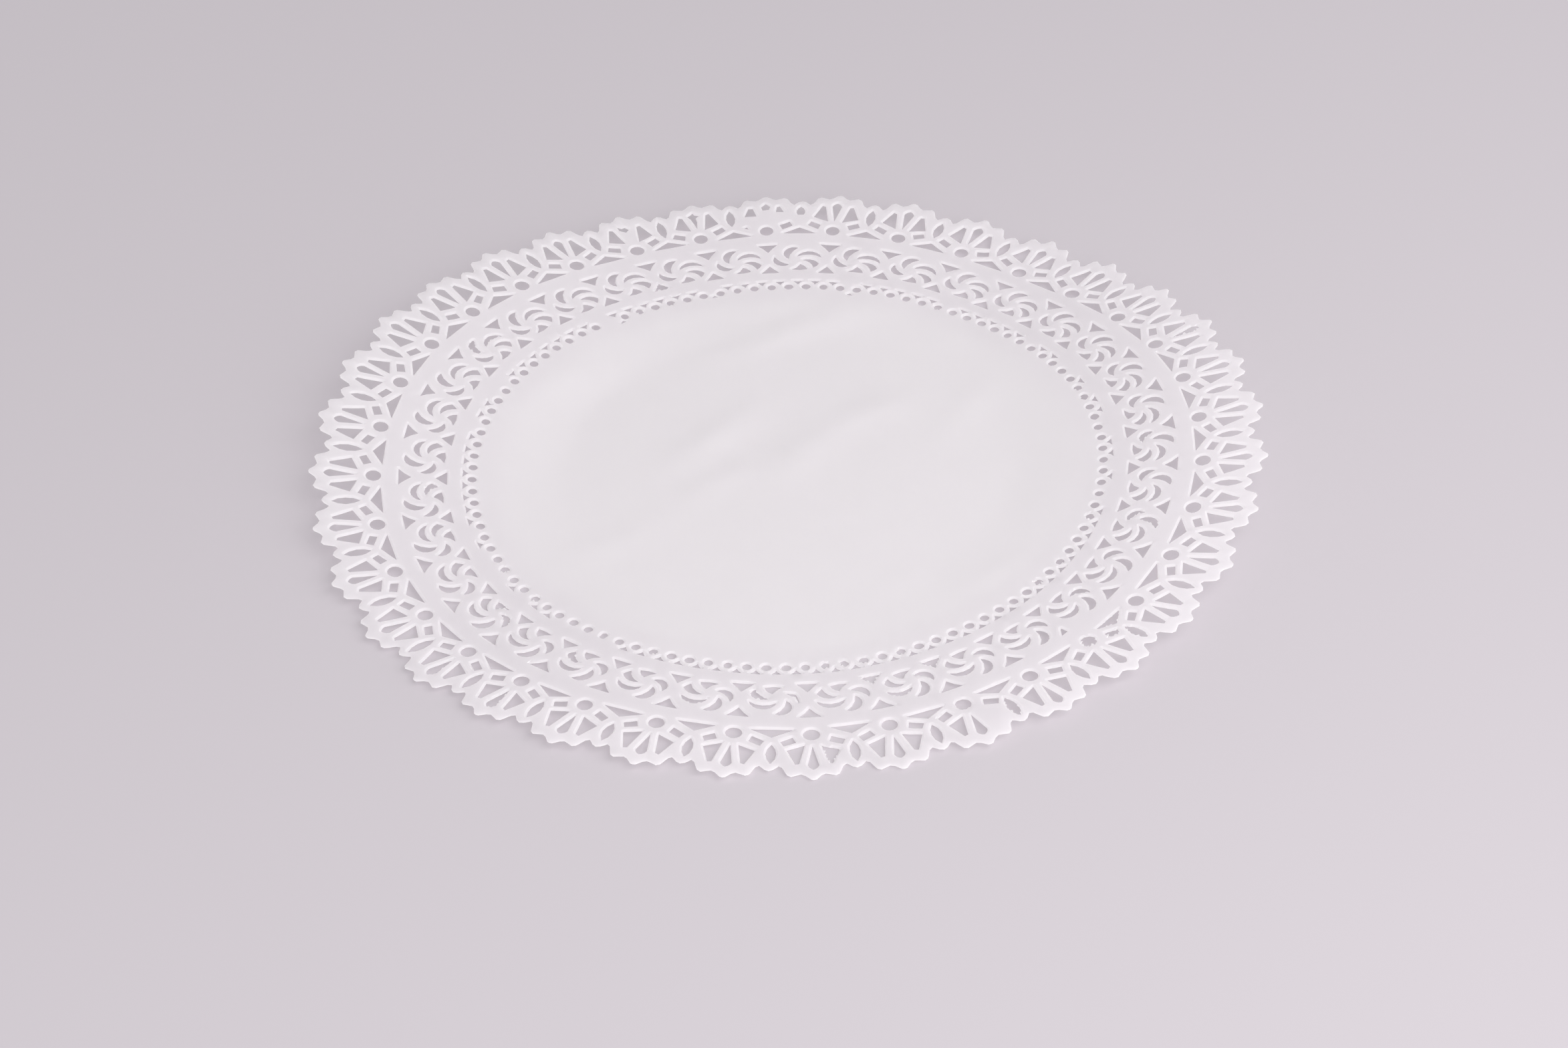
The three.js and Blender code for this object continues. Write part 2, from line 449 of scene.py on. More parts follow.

# %% [markdown]
# ## The pressed relief
# The die pulls the paper down round each opening before it cuts, so every cut lies at the foot of a
# short, even bevel. The toothed rim is pressed in the same way, but less. The height at a point depends
# on how far it is from the nearest cut. It could be a displacement texture, but then it would be missing
# from the mesh, so each point is raised by itself. The middle of the sheet is painted lighter, painted
# light that lifts it to the brightness of the lace and fades in over the inner lace. Two numbers on each
# point tell the material how pressed the paper is and how much the point belongs to that lighter middle.

# %% The pressed relief
BEVEL = 0.62  # mm from a cut to the upper edge of its bevel
DIP = 0.48  # mm that the cut lies below the plain level
RIM_DIP = 0.6  # of the dip, along the toothed edge
MIDDLE_LIGHT_RADIUS = 102  # mm, where the middle that is painted lighter starts
MIDDLE_LIGHT_FADE = 14  # mm over which it fades in
SAMPLE_STEP = 0.2  # mm from sample to sample of an edge
RIM_PARTS = 4  # samples from point to point of the toothed edge
FAR = 99.0  # mm, for all that is out of reach of a bevel


def samples_of(openings):
    """The edge points of each opening and of its copies in the two neighbouring repeats."""
    found = []
    for opening in openings:
        points = np.array(opening_points(opening, SAMPLE_STEP))
        for turn in (-PITCH, 0, PITCH):
            c, s = math.cos(turn), math.sin(turn)
            found.append(points @ np.array([[c, s], [-s, c]]))
    return found


def gaps_to(points, edge):
    """How far each point is from an edge, where that is within reach of its bevel."""
    reach = 2 * BEVEL
    near = np.all((points > edge.min(axis=0) - reach) & (points < edge.max(axis=0) + reach), axis=1)
    gaps = np.full(len(points), FAR)
    if near.any():
        gaps[near] = np.linalg.norm(points[near, None] - edge[None], axis=2).min(axis=1)
    return gaps


def relief(points, samples):
    """How high each point lies above the lowest cut, in mm, and how far it is from the nearest cut."""
    cut_gap = np.min([gaps_to(points, edge) for edge in samples], axis=0)
    rim_gap = gaps_to(points, RIM_SAMPLES)
    dip = np.maximum(1 - cut_gap / BEVEL, RIM_DIP * (1 - rim_gap / BEVEL))
    return DIP * (1 - np.clip(dip, 0, 1)), np.minimum(cut_gap, rim_gap)


def middle_share_at(points):
    """How much each point belongs to the middle that is painted lighter, from 0 to 1."""
    return np.clip((MIDDLE_LIGHT_RADIUS - np.linalg.norm(points, axis=1)) / MIDDLE_LIGHT_FADE, 0, 1)


def give_points(mesh, name, values, kind="FLOAT"):
    """Gives each point of a mesh its value under a name that nodes can read."""
    mesh.attributes.new(name, kind, "POINT").data.foreach_set("value", values)


RIM_SAMPLES = np.array([
    turned(a.lerp(b, part / RIM_PARTS), turn * PITCH)
    for turn in (-1, 0, 1) for a, b in zip(smooth_edge(), smooth_edge()[1:]) for part in range(RIM_PARTS)
])
STANDARD_SAMPLES = samples_of(OPENINGS)
print(len(STANDARD_SAMPLES), "opening edges shape the relief of one repeat")

# %% [markdown]
# ## Lines along the bevels
# A line of points follows the upper edge of each bevel, so that it stays crisp. Where a rib is too
# narrow for two whole bevels, the line lies closer to the cut. A bevel modifier would need a weight on
# every edge to do that.

# %% Lines along the bevels
LINE_STEP = 0.3  # mm from station to station of a cut
LINE_DISTANCES = [BEVEL, 0.42, 0.26]  # mm from the cut, of which the first that fits is used
LINE_SLACK = 0.04  # mm that a line may lie closer to another cut
LINE_TURN = math.radians(20)  # a line needs no more points where it turns by less
LINE_LONGEST = 2.8  # mm from point to point where it hardly turns
FAN_TURN = math.radians(30)  # from ray to ray round a corner
NEAREST_POINT = 0.2  # mm


def inside(points, outline):
    """Which points lie inside a closed outline."""
    x, y = np.asarray(points).T
    ring = np.array(outline)
    result = np.zeros(len(x), bool)
    for (ax, ay), (bx, by) in zip(ring, np.roll(ring, -1, axis=0)):
        crosses = (ay > y) != (by > y)
        if ay != by:
            result ^= crosses & (x < (bx - ax) * (y - ay) / (by - ay) + ax)
    return result


def edge_stations(line):
    """The points of a line with the directions in which its bevel rises, fanned out at its corners."""
    stations = []
    for before, here, after in zip(line, line[1:], line[2:]):
        come, go = (here - before).normalized(), (after - here).normalized()
        turn = -come.angle_signed(go)
        if turn > FAN_TURN / 2:
            fan = math.ceil(turn / FAN_TURN)
            rays = [right_of(turned(come, turn * part / fan)) for part in range(fan + 1)]
            stations += [(here, ray, True) for ray in rays]
        else:
            stations.append((here, right_of((come + go).normalized()), False))
    return stations


def bevel_lines(openings, samples):
    """Lines of points along the upper edges of the bevels beside the openings and the rim.

    A line that goes all the way round an opening is closed. One that doesn't fit everywhere is in parts.
    """
    loops = [opening_points(opening, LINE_STEP) for opening in openings]
    lines = [loop[-1:] + loop + loop[:1] for loop in loops] + [smooth_edge()]
    for line in lines:
        stations = edge_stations(line)
        chosen = np.full((len(stations), 2), FAR)
        found = np.zeros(len(stations), bool)
        for distance in LINE_DISTANCES:
            points = np.array([here + way * distance for here, way, _ in stations])
            _, gaps = relief(points, samples)
            use = ~found & (gaps > distance - LINE_SLACK) & inside(points, REPEAT_OUTLINE)
            chosen[use] = points[use]
            found |= use
        part, last_way = [], None
        for (_, way, corner), point, good in zip(stations, chosen, found):
            if not good:
                yield part
                part = []
                continue
            point = Vector(point)
            gap = (point - part[-1]).length if part else FAR
            straight_on = not corner and gap < LINE_LONGEST and way.angle(last_way) < LINE_TURN
            if straight_on or gap < NEAREST_POINT:
                continue
            part.append(point)
            last_way = way
        closed = found.all() and line is not lines[-1]
        yield part + part[:1] if closed else part


print("lines at", LINE_DISTANCES, "mm from each cut")

# %% [markdown]
# ## A net of triangles over one repeat
# There are few points where the paper is plain. A constrained Delaunay triangulation joins them to the
# outlines and the lines and keeps every one of these, so no triangle crosses an opening. A boolean could
# cut the openings out of a plain sheet, but its long thin triangles would crumple the bevels. Where torn
# edges cross, they can cut off a scrap of paper, which falls out of a real doily too, so it is dropped.

# %% A net of triangles over one repeat
PLAIN_STEP = 2.7  # mm from point to point of the plain paper
PLAIN_DISTANCE = 1.3  # mm at least from any cut
PLAIN_GAP = 1.2  # mm at least from any other point
CELL = 1.0  # mm, the side of the squares in which near points are looked for
WHOLE_HULL, INSIDE_ONLY = 0, 1  # what a triangulation gives back
JOIN_ERROR = 1e-5  # mm


class Crowd:
    """Points that are kept in square cells, so that a point's neighbours are found quickly."""

    def __init__(self):
        self.cells, self.points = {}, []

    def cell_of(self, point):
        """The column and the row of the cell that a point is in."""
        return int(point[0] // CELL), int(point[1] // CELL)

    def free(self, point, gap):
        """Whether no point is nearer than the gap."""
        reach = math.ceil(gap / CELL)
        column, row = self.cell_of(point)
        return all(
            (other - point).length >= gap
            for x in range(column - reach, column + reach + 1) for y in range(row - reach, row + reach + 1)
            for other in self.cells.get((x, y), ())
        )

    def add(self, point):
        """Adds a point and returns its number."""
        self.cells.setdefault(self.cell_of(point), []).append(point)
        self.points.append(point)
        return len(self.points) - 1


def even_points(low, high, step):
    """Points in even rows over a box, every other row half a step further."""
    rows = np.arange(low[1], high[1], step * math.sqrt(3) / 2)
    return [
        Vector((x, y)) for number, y in enumerate(rows)
        for x in np.arange(low[0] + number % 2 * step / 2, high[0], step)
    ]


def groups_of(faces, members):
    """The given faces in groups that hang together by whole sides, the largest first."""
    sides = {}
    for number in members:
        for pair in combinations(faces[number], 2):
            sides.setdefault(frozenset(pair), []).append(number)
    left, groups = set(members), []
    while left:
        front = [left.pop()]
        group = set(front)
        while front:
            pairs = combinations(faces[front.pop()], 2)
            near = {other for pair in pairs for other in sides[frozenset(pair)]}
            front += near & left
            group |= near & left
            left -= near
        groups.append(group)
    return sorted(groups, key=len, reverse=True)


def without_scraps(faces, border_count):
    """The faces without those that hang on the rest by a point or not at all.

    The first border_count points are on the border, where the next repeat may hold on to a face as well.
    """
    kept = groups_of(faces, range(len(faces)))[0]
    dropped = True
    while dropped:
        around = {}
        for number in kept:
            for corner in faces[number]:
                around.setdefault(corner, []).append(number)
        dropped = set()
        for corner, members in around.items():
            if corner >= border_count:
                for group in groups_of(faces, members)[1:]:
                    dropped |= group
        kept -= dropped
    return [faces[number] for number in sorted(kept)]


def repeat_net(cuts, chance):
    """The points and triangles of one repeat with these cuts, and the samples that shape its relief."""
    openings = [opening for opening, _ in cuts]
    samples = samples_of(openings)
    outlines = [outline_of(opening, tear, chance) for opening, tear in cuts]
    crowd, joins = Crowd(), []
    for loop in [REPEAT_OUTLINE, *outlines]:
        numbers = [crowd.add(point) for point in loop]
        joins += list(zip(numbers, numbers[1:] + numbers[:1]))
    for line in bevel_lines(openings, samples):
        known, last = {}, None
        for point in line:
            key = tuple(point)
            if key not in known and crowd.free(point, NEAREST_POINT):
                known[key] = crowd.add(point)
            here = known.get(key)
            if here is not None and last is not None and here != last:
                joins.append((last, here))
            last = here
    plain = even_points(np.min(REPEAT_OUTLINE, axis=0), np.max(REPEAT_OUTLINE, axis=0), PLAIN_STEP)
    _, gaps = relief(np.array(plain), samples)
    for point, within, gap in zip(plain, inside(plain, REPEAT_OUTLINE), gaps):
        if within and gap > PLAIN_DISTANCE and crowd.free(point, PLAIN_GAP):
            crowd.add(point)
    points, _, faces, *_ = delaunay_2d_cdt(crowd.points, joins, [], WHOLE_HULL, JOIN_ERROR, False)
    middles = np.array([sum((points[i] for i in face), Vector((0, 0))) / 3 for face in faces])
    solid = inside(middles, REPEAT_OUTLINE)
    for loop in outlines:
        solid &= ~inside(middles, loop)
    faces = [face for face, kept in zip(faces, solid) if kept]
    return points, without_scraps(faces, len(REPEAT_OUTLINE)), samples


print("plain points", PLAIN_STEP, "mm apart")

# %% [markdown]
# ## One repeat as a mesh
# The net is flat, and the relief raises it. The points of the seams get the height that they have in a
# repeat without faults. So they fit the next repeat, whose openings may be torn in other ways.

# %% One repeat as a mesh
ON_SEAM = 0.01  # mm


def repeat_mesh(name, cuts, chance):
    """One repeat as a mesh, with its relief and its pressed and middle values."""
    points, faces, samples = repeat_net(cuts, chance)
    flat = np.array(points)
    height, _ = relief(flat, samples)
    border = kdtree.KDTree(len(seam) * 2)
    for number, point in enumerate(seam + far_seam):
        border.insert(point.to_3d(), number)
    border.balance()
    on_seam = np.array([border.find(point.to_3d())[2] < ON_SEAM for point in points])
    height[on_seam] = relief(flat[on_seam], STANDARD_SAMPLES)[0]
    used = sorted({number for face in faces for number in face})
    renumbered = {old: new for new, old in enumerate(used)}
    mesh = bpy.data.meshes.new(name)
    mesh.from_pydata(
        [(flat[i][0] * MM, flat[i][1] * MM, height[i] * MM) for i in used], [],
        [[renumbered[i] for i in face] for face in faces],
    )
    give_points(mesh, "pressed", 1 - height[used] / DIP)
    give_points(mesh, "smooth", middle_share_at(flat[used]))
    return mesh


print(len(seam) * 2, "points of a repeat lie on its two seams")

# %% [markdown]
# ## What differs from repeat to repeat
# No two repeats of a real doily are alike. The punch is dull in places: paper hangs in some openings,
# many tiny triangles were never cut, one petal stays closed, one fan is only half cut and a few openings
# have another shape. The tables below say which openings are at fault, by the bearing of their repeat,
# anticlockwise from the right in degrees. Copies of one mesh would look too perfect, so each repeat is a
# mesh of its own. In it every opening is a little out of place and a little larger or smaller.

# %% What differs from repeat to repeat
NEVER_CUT = {
    "tiny triangle 0": [0, 10, 20, 30, 50, 70, 120, 150, 160, 190, 200, 210, 220, 230, 340],
    "tiny triangle 1": [0, 20, 100, 150, 200, 230, 340, 350],
    "tiny triangle 2": [210, 230],
    "dot 1": [120],
    "left petal": [290],
}
TORN = {  # mm that the paper hangs into the opening, at each bearing
    "dot 0": {10: 0.4, 50: 0.35, 110: 0.45, 200: 0.4, 210: 0.5, 270: 0.5, 280: 0.4, 310: 0.7, 330: 0.45},
    "dot 1": {10: 0.35, 240: 0.45, 270: 0.4, 320: 0.4},
    "dot 2": {110: 0.45, 280: 0.4},
    "first crescent": {140: 0.4, 330: 0.25},
    "second crescent": {140: 0.25, 250: 0.25, 280: 0.25},
    "third crescent": {180: 0.3, 230: 0.3, 260: 0.35},
    "fourth crescent": {210: 0.3, 310: 0.25, 330: 0.45, 350: 0.3},
    "fifth crescent": {210: 0.4},
    "inner triangle": {110: 0.4, 280: 0.4, 290: 0.3},
    "middle petal": {20: 0.5, 220: 0.2, 230: 0.25},
    "left petal": {270: 0.4},
    "left square": {310: 0.7},
    "lens": {290: 0.35, 310: 0.35},
    "eye": {290: 0.2, 310: 0.6},
    "wide triangle": {310: 0.3},
}
RESHAPED = {
    (80, "lens"): shape((-1.0, 1.5), (1.1, 1.5, 0.9), (0.1, 6.0, 0.9)),
    (90, "middle petal"): shape((-0.9, 4.0), (1.2, 4.2), (1.8, 5.9), (0.3, 7.8), (-1.3, 5.9)),
    (90, "right petal"): shape((4.0, 2.7), (6.9, 2.4), (5.6, 5.6), (4.5, 5.4)),
    (90, "left petal"): shape((-3.0, 0.8), (-4.1, 5.2), (-5.6, 5.2), (-7.0, 0.9)),
    (90, "left square"): shape((-6.3, -5.6), (-7.0, -4.3), (-8.2, -4.9)),
    (100, "middle petal"): shape(
        (0, -1.5), (0.7, 2.2), (0.6, 4.1), (2.1, 5.3), (0.5, 6.0), (0.2, 7.3), (-1.1, 6.2),
        (-2.0, 5.6), (-1.1, 4.0),
    ),
    (110, "middle petal"): shape(
        (0.2, 3.4), (1.6, 4.6), (0.7, 6.2), (-0.5, 5.9), (-1.7, 7.2), (-1.6, 5.0),
    ),
    (260, "fourth crescent"): shape(
        (-7.6, 0.9, 0.3), (-6.3, -2.9), (-3.1, -3.3), (-4.9, -2.2), (-6.4, -1.7),
    ),
    (310, "outer triangle"): shape((0.4, 1.9), (0.6, -0.6), (1.2, -0.2), (3.0, 2.1)),
}
NICK = shape((-1.2, -0.5), (1.2, -0.5), (0.1, 0.6))
NICKS = {70: (-0.45, 96.5), 100: (-0.13, 97.9), 120: (-0.11, 97.2)}  # the share and radius at each bearing
USUAL_TEARS = {"dot": 0.06, "tiny": 0.08, "fourth crescent": 0.06}  # mm
OUT_OF_PLACE = 0.07  # mm
UNEVEN, UNEVEN_DOT = 0.03, 0.08  # of the size


def cuts_at(bearing, chance):
    """The openings of the repeat at a bearing, each with the depth of its tears."""
    cuts = []
    nicks = [Opening("nick", *NICKS[bearing], NICK)] if bearing in NICKS else []
    for opening in OPENINGS + nicks:
        dx, dy = chance.normal(0, OUT_OF_PLACE, 2)
        wide, high = 1 + chance.normal(0, UNEVEN_DOT if opening.name.startswith("dot") else UNEVEN, 2)
        if bearing in NEVER_CUT.get(opening.name, ()):
            continue
        corners = RESHAPED.get((bearing, opening.name), opening.corners)
        moved = [corner._replace(x=corner.x * wide + dx, y=corner.y * high + dy) for corner in corners]
        usual = next((tear for name, tear in USUAL_TEARS.items() if opening.name.startswith(name)), 0)
        tear = TORN.get(opening.name, {}).get(bearing, usual)
        cuts.append((opening._replace(corners=moved), tear))
    return cuts


repeats = bpy.data.collections.new("repeats")
for number in range(REPEATS):
    bearing = number * FULL_TURN // REPEATS
    chance = np.random.default_rng(number)
    mesh = repeat_mesh(f"repeat at {bearing}", cuts_at(bearing, chance), chance)
    repeats.objects.link(bpy.data.objects.new(f"{number:02d} repeat at {bearing}", mesh))
triangles = [len(thing.data.polygons) for thing in repeats.objects]
print(REPEATS, "repeats with", min(triangles), "to", max(triangles), "triangles")

# %% [markdown]
# ## The plain middle
# Inside the dots the paper is plain. Its net is coarse, because nothing there is small. A filled circle
# would do, but the border needs the same points as the inner ends of the 36 repeats, so that the two
# join without a gap.

# %% The plain middle
MIDDLE_STEP = 3.2  # mm from point to point
MIDDLE_MARGIN = 0.6 * MIDDLE_STEP  # along its border, where the border's own points are enough


def middle_mesh():
    """The plain disc inside the lace."""
    count = REPEATS * INNER_STEPS
    border = [turned((LACE_RADIUS, 0), INNER_START + math.tau * number / count) for number in range(count)]
    loop = list(zip(range(count), [*range(1, count), 0]))
    corner = Vector((LACE_RADIUS, LACE_RADIUS))
    plain = [
        point for point in even_points(-corner, corner, MIDDLE_STEP)
        if point.length < LACE_RADIUS - MIDDLE_MARGIN
    ]
    points, _, faces, *_ = delaunay_2d_cdt(border + plain, loop, [], INSIDE_ONLY, JOIN_ERROR, False)
    mesh = bpy.data.meshes.new("plain middle")
    mesh.from_pydata([(point.x * MM, point.y * MM, DIP * MM) for point in points], [], faces)
    give_points(mesh, "smooth", middle_share_at(np.array(points)))
    return mesh


middle = bpy.data.objects.new("plain middle", middle_mesh())
print("the plain middle has", len(middle.data.polygons), "triangles")

# %% [markdown]
# ## Waves, curls and creases
# A real doily that was folded in its pack never lies flat. Its rim rises off the table in a few soft
# waves, the teeth curl up or down here and there, and the folds have left soft creases. All that could
# be sculpted by hand, but formulas in a node tree keep every rise smooth, and the part's solid follows
# the same waves.

# %% Waves, curls and creases
Wave = namedtuple("Wave", "bearing half_width rise")  # degrees, degrees and mm
WAVES = [
    Wave(145, 48, 14.2), Wave(88, 56, 6.3), Wave(3, 55, 13.8), Wave(-42, 51, 5.5), Wave(-120, 42, 3.2),
    Wave(180, 42, 7.3),
]
FLAT_RADIUS = 71  # mm, inside which the waves don't reach
RIM_RADIUS = 150  # mm, at which a wave has its whole rise
LIFT_POWER = 1.15  # above 1, the sheet leaves the table gently
CURLS = [Wave(40, 30, 1.4), Wave(92, 22, -1.0), Wave(140, 14, -0.8), Wave(0, 25, -0.6)]
CURL_START = 142  # mm
FARTHEST_OUT = 2  # times the way out to the rim, where the waves and curls stop rising
Crease = namedtuple("Crease", "x y bearing length width rise")  # in mm, and the bearing in degrees
CREASES = [
    Crease(28.5, 106.3, 75, 13, 0.9, 0.3),
    Crease(5, 74, 24, 28, 6, 0.8),
    Crease(-23, 18, 45, 20, 6, 0.8),
    Crease(6, 8, 49, 18, 6, 0.7),
    Crease(30, 27, 24, 16, 6, 0.6),
    Crease(60.5, -60.5, 36, 13, 2.2, 0.45),
    Crease(-22, -6, 38, 18, 5, 0.5),
    Crease(29, -63, 34, 9, 3, 0.3),
    Crease(-69, 52, 37, 17, 6, 0.4),
    Crease(-56, -34, 26, 14, 5, 0.4),
    Crease(60, 28, 54, 18, 5, 0.5),
]


def bump_round(bearing, wave):
    """A smooth hump over bearings, with its rise in metres."""
    turn = bearing - wave.bearing + 1.5 * FULL_TURN
    turn = turn.math("FLOORED_MODULO", turn, FULL_TURN) - FULL_TURN / 2
    share = (turn.math("ABSOLUTE", turn) / wave.half_width).between(0, 1)
    cosine = share.math("COSINE", share * (math.pi / 2))
    return cosine * cosine * (wave.rise * MM)


def crease_rise(x, y, crease):
    """A soft ridge along a crease, with its rise in metres."""
    c, s = math.cos(math.radians(crease.bearing)), math.sin(math.radians(crease.bearing))
    dx, dy = x - crease.x * MM, y - crease.y * MM
    lengthways = (dx * c + dy * s) / (crease.length * MM)
    across = (dy * c - dx * s) / (crease.width * MM)
    fade = lengthways * lengthways + across * across
    return fade.math("EXPONENT", fade * -1) * (crease.rise * MM)


def sheet_lift(nodes, size):
    """How far each point is lifted off the table, in metres."""
    apart = nodes.add("ShaderNodeSeparateXYZ", (), [nodes.add("GeometryNodeInputPosition")], output=None)
    x, y = Field(nodes, apart.outputs[0]), Field(nodes, apart.outputs[1])
    radius = (x * x + y * y) ** 0.5
    bearing = x.math("ARCTAN2", y, x) * (180 / math.pi)
    out = (radius - size["Flat radius"]) / (size["Rim radius"] - size["Flat radius"])
    steepening = out.between(0, FARTHEST_OUT) ** size["Lift power"]
    lift = size["Rest height"]
    for wave in WAVES:
        lift = lift + bump_round(bearing, wave) * steepening
    curl = ((radius - CURL_START * MM) / ((RIM_RADIUS - CURL_START) * MM)).between(0, FARTHEST_OUT)
    for wave in CURLS:
        lift = lift + bump_round(bearing, wave) * curl * curl
    for crease in CREASES:
        lift = lift + crease_rise(x, y, crease)
    return lift


print(len(WAVES), "waves,", len(CURLS), "curls of the rim and", len(CREASES), "creases")

# %% [markdown]
# ## The tree of the whole sheet
# Geometry Nodes put a repeat on each of 36 points, join them to the middle and lift the sheet. The sheet
# gets the thickness of paper from a copy of itself that is pushed up, with walls along the cuts, and
# another that is turned over for the underside. A Solidify modifier could do the same, but this way the
# thickness is an input of the tree, as the other sizes are, and the walls along the cuts stay upright.

# %% The tree of the whole sheet
SAME_POINT = 0.003 * MM  # points nearer than this are one point
SIZES = {
    "Flat radius": FLAT_RADIUS * MM,
    "Rim radius": RIM_RADIUS * MM,
    "Lift power": LIFT_POWER,
    "Paper thickness": 0.12 * MM,
    "Rest height": 0.03 * MM,
}


def welded(nodes, *pieces):
    """The pieces as one, in which points that fall together are one point."""
    join = nodes.add("GeometryNodeJoinGeometry", output=None)
    for piece in pieces:
        nodes.tree.links.new(piece.socket, join.inputs[0])
    return nodes.add("GeometryNodeMergeByDistance", (), {
        "Geometry": Field(nodes, join.outputs[0]), "Distance": SAME_POINT,
    })


def flat_sheet(nodes, points):
    """The repeats on their points, joined to the middle."""
    number = nodes.add("GeometryNodeInputNamedAttribute", {"data_type": "INT"}, ["number"])
    bearing = nodes.add("GeometryNodeInputNamedAttribute", {"data_type": "FLOAT"}, ["bearing"])
    turn = nodes.add("ShaderNodeCombineXYZ", (), {"Z": bearing * (math.pi / 180)})
    rotation = nodes.add("FunctionNodeEulerToRotation", (), [turn])
    choice = nodes.add("GeometryNodeCollectionInfo", (), [repeats, True])
    placed = nodes.add("GeometryNodeInstanceOnPoints", (), {
        "Points": points, "Instance": choice, "Pick Instance": True, "Instance Index": number,
        "Rotation": rotation,
    })
    lace = nodes.add("GeometryNodeRealizeInstances", (), [placed])
    return welded(nodes, lace, nodes.add("GeometryNodeObjectInfo", (), [middle], output="Geometry"))


def sheet_tree(paper):
    """The tree that makes the sheet, and the identifier of each named size."""
    tree = bpy.data.node_groups.new("paper doily", "GeometryNodeTree")
    tree.interface.new_socket("Geometry", in_out="OUTPUT", socket_type="NodeSocketGeometry")
    tree.interface.new_socket("Geometry", in_out="INPUT", socket_type="NodeSocketGeometry")
    keys = {}
    for name in SIZES:
        socket = tree.interface.new_socket(name, in_out="INPUT", socket_type="NodeSocketFloat")
        keys[name] = socket.identifier
    nodes = Nodes(tree)
    given = nodes.add("NodeGroupInput", output=None)
    size = {name: Field(nodes, given.outputs[name]) for name in SIZES}

    flat = flat_sheet(nodes, Field(nodes, given.outputs["Geometry"]))
    offset = nodes.add("ShaderNodeCombineXYZ", (), {"Z": sheet_lift(nodes, size)})
    lifted = nodes.add("GeometryNodeSetPosition", (), {"Geometry": flat, "Offset": offset})
    thickness = nodes.add("ShaderNodeCombineXYZ", (), {"Z": size["Paper thickness"]})
    top = nodes.add("GeometryNodeExtrudeMesh", {"mode": "FACES"}, {
        "Mesh": lifted, "Offset": thickness, "Offset Scale": 1.0, "Individual": False,
    })
    closed = welded(nodes, top, nodes.add("GeometryNodeFlipFaces", (), [lifted]))
    real = nodes.add("GeometryNodeRealizeInstances", (), [closed])
    finished = nodes.add("GeometryNodeSetMaterial", (), {"Geometry": real, "Material": paper})
    output = nodes.add("NodeGroupOutput", output=None)
    tree.links.new(finished.socket, output.inputs[0])
    return tree, keys


print("the tree takes", len(SIZES), "sizes")

# %% [markdown]
# ## The paper
# The paper is soft white stock without a coating. Close up it shows short fibres and a faint cloudy
# formation. The pressed bevels are painted whiter than the rest, a painted highlight where they catch the
# light, and the middle is painted a little lighter, painted light that lifts it to the brightness of the
# lace, and is a little warmer. The sheet is so thin that most of the light goes through it, which is why
# the holes and the shadows under it stay pale. A solid white would leave them nearly black. Light
# scattered inside a solid would do too, but it is slow and makes thin paper waxy.

# %% The paper
DULL_WHITE = (0.955, 0.938, 0.948, 1)
BRIGHT_WHITE = (1.0, 0.995, 1.0, 1)
MIDDLE_TINT = (1.0, 1.0, 0.993, 1)
THROUGH_WHITE = (0.987, 0.977, 0.984, 1)
PLAIN_WHITENESS = 0.68  # 0 is the dull white and 1 the bright one
# Painted highlight on the pressed bevels, and painted light on the middle, both added to the whiteness.
BEVEL_PAINTED_HIGHLIGHT, MIDDLE_PAINTED_LIGHT = 0.3, 0.2
CLOUDS, FIBRES = 0.4, 0.7  # how much they change the whiteness
SHARE_THROUGH = 0.854  # of the light, where the paper is least white
WHITE_STOPS, MIDDLE_PAINTED_LIGHT_STOPS = 0.05, 0.04  # of the light, where the paper is whitest, or in the middle, which this makes brighter as painted light
ROUGHNESS = 0.86
PRESSED_SMOOTHER, FIBRES_ROUGHER = 0.12, 0.1


def noise(nodes, place, scale, detail, roughness):
    """A noise pattern from 0 to 1. Its scale is the number of its blobs to the metre."""
    values = {"Vector": place, "Scale": scale, "Detail": detail, "Roughness": roughness}
    return nodes.add("ShaderNodeTexNoise", (), values)


def mixed(nodes, blend, factor, under, over):
    """Two colours mixed. The node's sockets 0, 6 and 7 are the factor and the colours."""
    settings = {"data_type": "RGBA", "blend_type": blend}
    return nodes.add("ShaderNodeMix", settings, {0: factor, 6: under, 7: over}, output=2)


def material_of(name, shader_of):
    """A material, with the shader that a function adds to its nodes."""
    material = bpy.data.materials.new(name)
    material.use_nodes = True
    material.node_tree.nodes.clear()
    nodes = Nodes(material.node_tree)
    output = nodes.add("ShaderNodeOutputMaterial", output=None)
    nodes.tree.links.new(shader_of(nodes).socket, output.inputs["Surface"])
    return material


